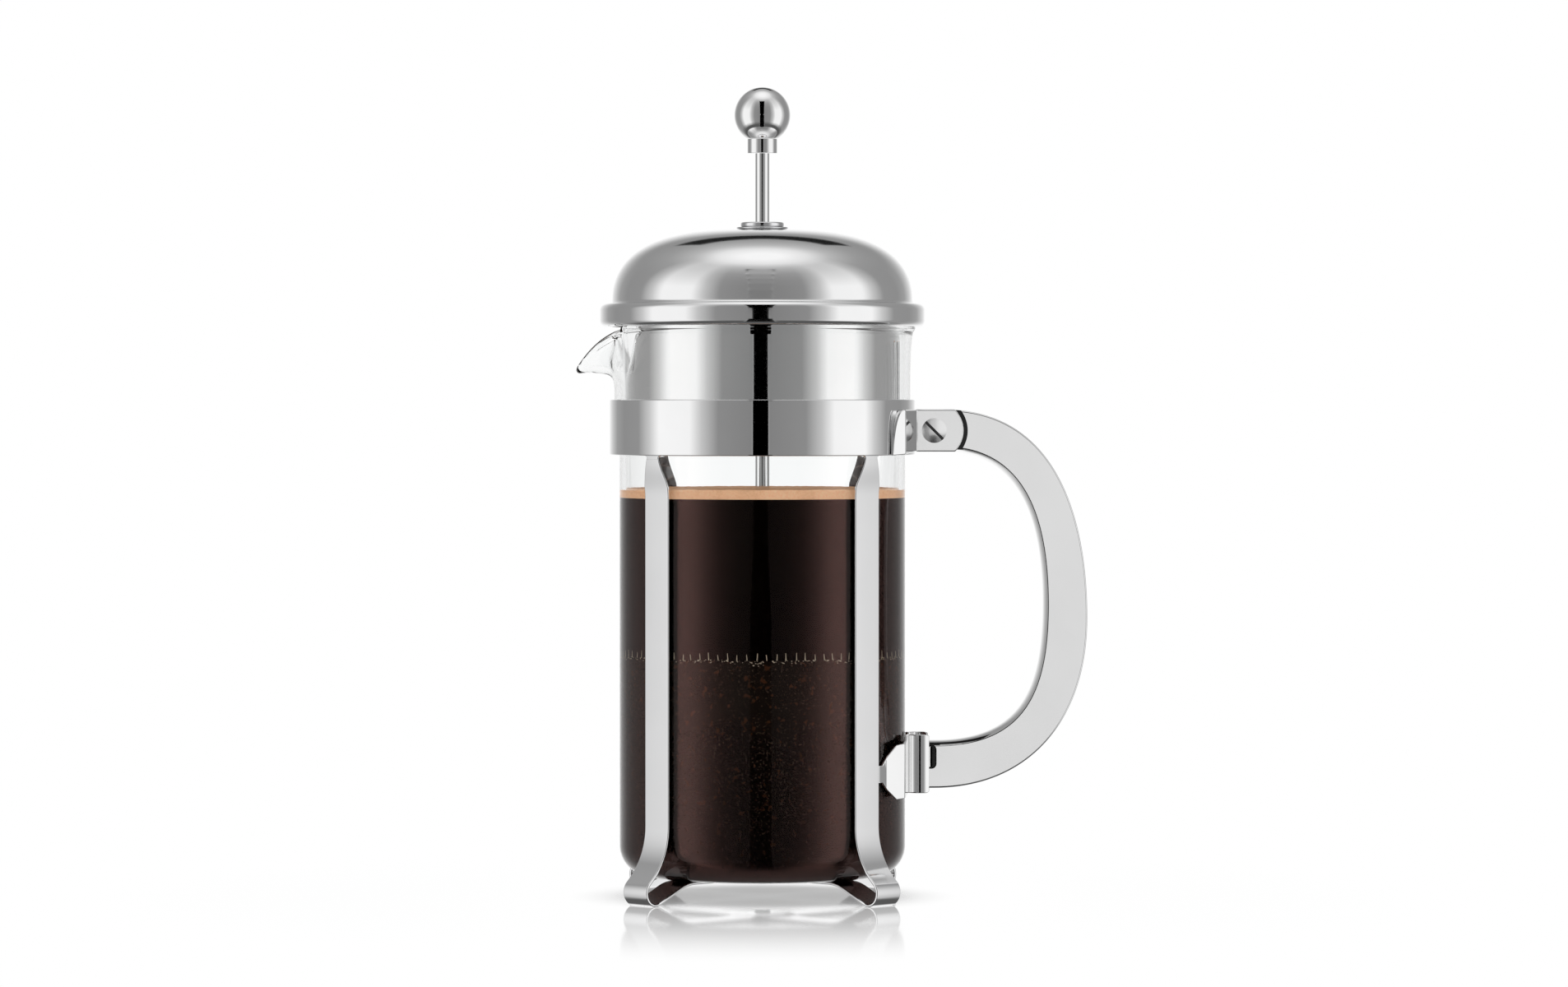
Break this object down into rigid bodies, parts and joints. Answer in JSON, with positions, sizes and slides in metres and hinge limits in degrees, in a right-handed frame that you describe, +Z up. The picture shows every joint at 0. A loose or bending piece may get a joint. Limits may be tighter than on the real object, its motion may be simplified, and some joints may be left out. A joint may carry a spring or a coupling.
{
  "type": "french press",
  "caption": "Glass coffee press in a steel frame with a D-shaped handle, a domed lid, a ball knob and a plunger with a mesh filter.",
  "frame": {"origin": "on the table, under the beaker's axis", "axes": "+Z up along the beaker's axis, +X towards the handle, -X towards the spout, +Y towards the far side"},
  "size_m": [0.1699, 0.108, 0.2693],
  "materials": {
    "frame_chrome": "polished plating on sheet steel",
    "handle_chrome": "satin-polished cast bar",
    "fastener_steel": "turned and plated",
    "glass": "clear borosilicate glass",
    "lid_steel": "fine satin sheet steel",
    "skirt_steel": "bright rolled sheet steel",
    "knob_chrome": "mirror polish",
    "rod_steel": "ground and polished rod",
    "black_plastic": "moulded, fine texture",
    "filter_steel": "stamped sheet steel",
    "spring_steel": "drawn spring wire",
    "mesh_steel": "woven wire mesh"
  },
  "bodies": {
    "frame": {"frame_band": "frame_chrome", "leg_strap_a": "frame_chrome", "leg_strap_b": "frame_chrome", "base_rivet": "fastener_steel", "handle_cheek_front": "frame_chrome", "handle_cheek_rear": "frame_chrome", "handle": "handle_chrome", "handle_screw": "fastener_steel", "handle_nut": "fastener_steel", "handle_lug_front": "frame_chrome", "handle_lug_rear": "frame_chrome"},
    "beaker": {"glass_beaker": "glass"},
    "rod_guide": {"rod_guide": "knob_chrome", "guide_washer": "fastener_steel", "guide_nut": "fastener_steel"},
    "lid": {"lid_dome": "lid_steel", "lid_skirt": "skirt_steel", "lid_inner_plate": "black_plastic"},
    "plunger": {"knob_ball": "knob_chrome", "knob_collar": "knob_chrome", "plunger_rod": "rod_steel", "filter_hub": "filter_steel", "spiral_plate": "filter_steel", "edge_spring": "spring_steel", "mesh_filter": "mesh_steel", "cross_plate": "filter_steel"}
  },
  "joints": [
    {"name": "beaker_lift", "type": "slide", "parent": "frame", "child": "beaker", "axis": [0, 0, 1], "range_m": [0, 0.2]},
    {"name": "lid_lift", "type": "slide", "parent": "beaker", "child": "rod_guide", "axis": [0, 0, 1], "range_m": [0, 0.185]},
    {"name": "lid_turn", "type": "hinge", "parent": "rod_guide", "child": "lid", "pos_m": [0, 0, 0.2], "axis": [0, 0, 1], "continuous": true},
    {"name": "plunger_press", "type": "slide", "parent": "rod_guide", "child": "plunger", "axis": [0, 0, 1], "range_m": [-0.0229, 0.105]}
  ]
}
